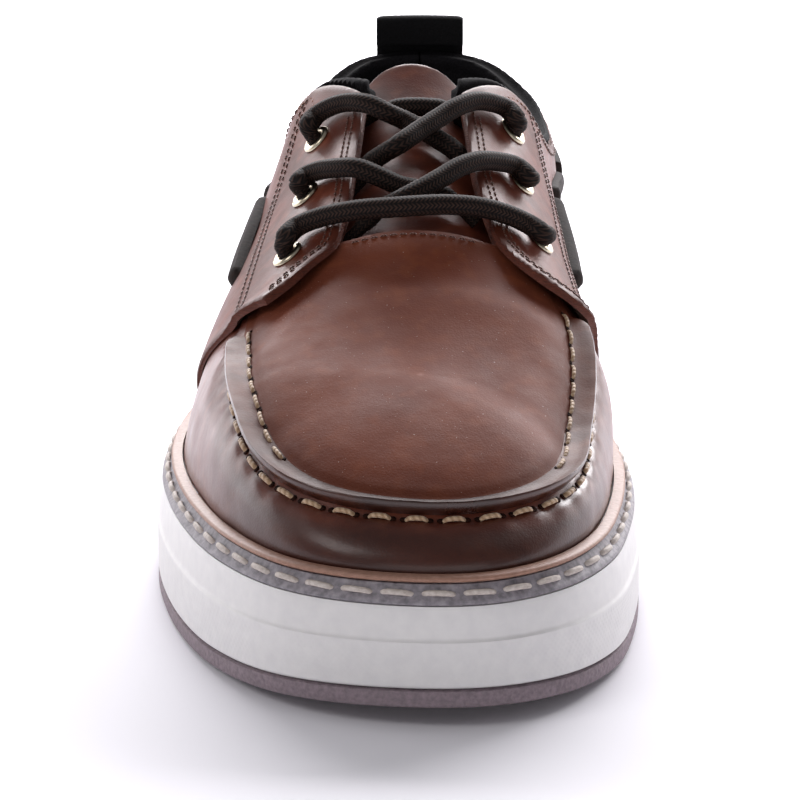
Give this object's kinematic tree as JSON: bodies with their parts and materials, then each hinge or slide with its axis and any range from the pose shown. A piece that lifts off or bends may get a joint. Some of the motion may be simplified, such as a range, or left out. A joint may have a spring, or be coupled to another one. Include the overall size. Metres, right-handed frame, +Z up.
{
  "type": "boat shoe",
  "caption": "Right low boat shoe: hand-sewn moc toe, lace flaps with metal eyelets, side lace, padded collar with a pull loop, cup sole with a stitched welt.",
  "frame": {"origin": "on the floor under the middle of the shoe's bounding box", "axes": "+Z up, -Y towards the toe, +Y towards the heel, +X towards the big toe's side"},
  "size_m": [0.1096, 0.3058, 0.1087],
  "materials": {
    "upper_leather": "polished",
    "seam_leather": "burnished",
    "sidewall_rubber": "satin",
    "welt_rubber": "satin",
    "rand_leather": "satin",
    "tread_rubber": "matte",
    "collar_fabric": "matte",
    "tab_webbing": "matte",
    "eyelet_nickel": "satin",
    "lace_cotton": "matte",
    "thong_leather": "satin",
    "footbed_suede": "matte",
    "stitch_thread": "matte"
  },
  "bodies": {
    "root": {"outsole": "tread_rubber", "midsole": "sidewall_rubber", "welt": "welt_rubber", "rand": "rand_leather", "insole": "footbed_suede", "upper": "upper_leather", "quarter_lateral": "upper_leather", "quarter_medial": "upper_leather", "toe_ridge": "seam_leather", "tongue": "upper_leather", "collar_lining": "collar_fabric", "pull_tab": "tab_webbing", "eyelet_lateral_1": "eyelet_nickel", "eyelet_lateral_2": "eyelet_nickel", "eyelet_lateral_3": "eyelet_nickel", "eyelet_medial_1": "eyelet_nickel", "eyelet_medial_2": "eyelet_nickel", "eyelet_medial_3": "eyelet_nickel", "lace_bar": "lace_cotton", "lace_cross_lower": "lace_cotton", "lace_cross_upper": "lace_cotton", "lace_tuck": "lace_cotton", "side_lace_lateral_1": "thong_leather", "side_lace_medial_1": "thong_leather", "side_lace_lateral_2": "thong_leather", "side_lace_medial_2": "thong_leather", "side_lace_lateral_3": "thong_leather", "side_lace_medial_3": "thong_leather"}
  },
  "joints": []
}
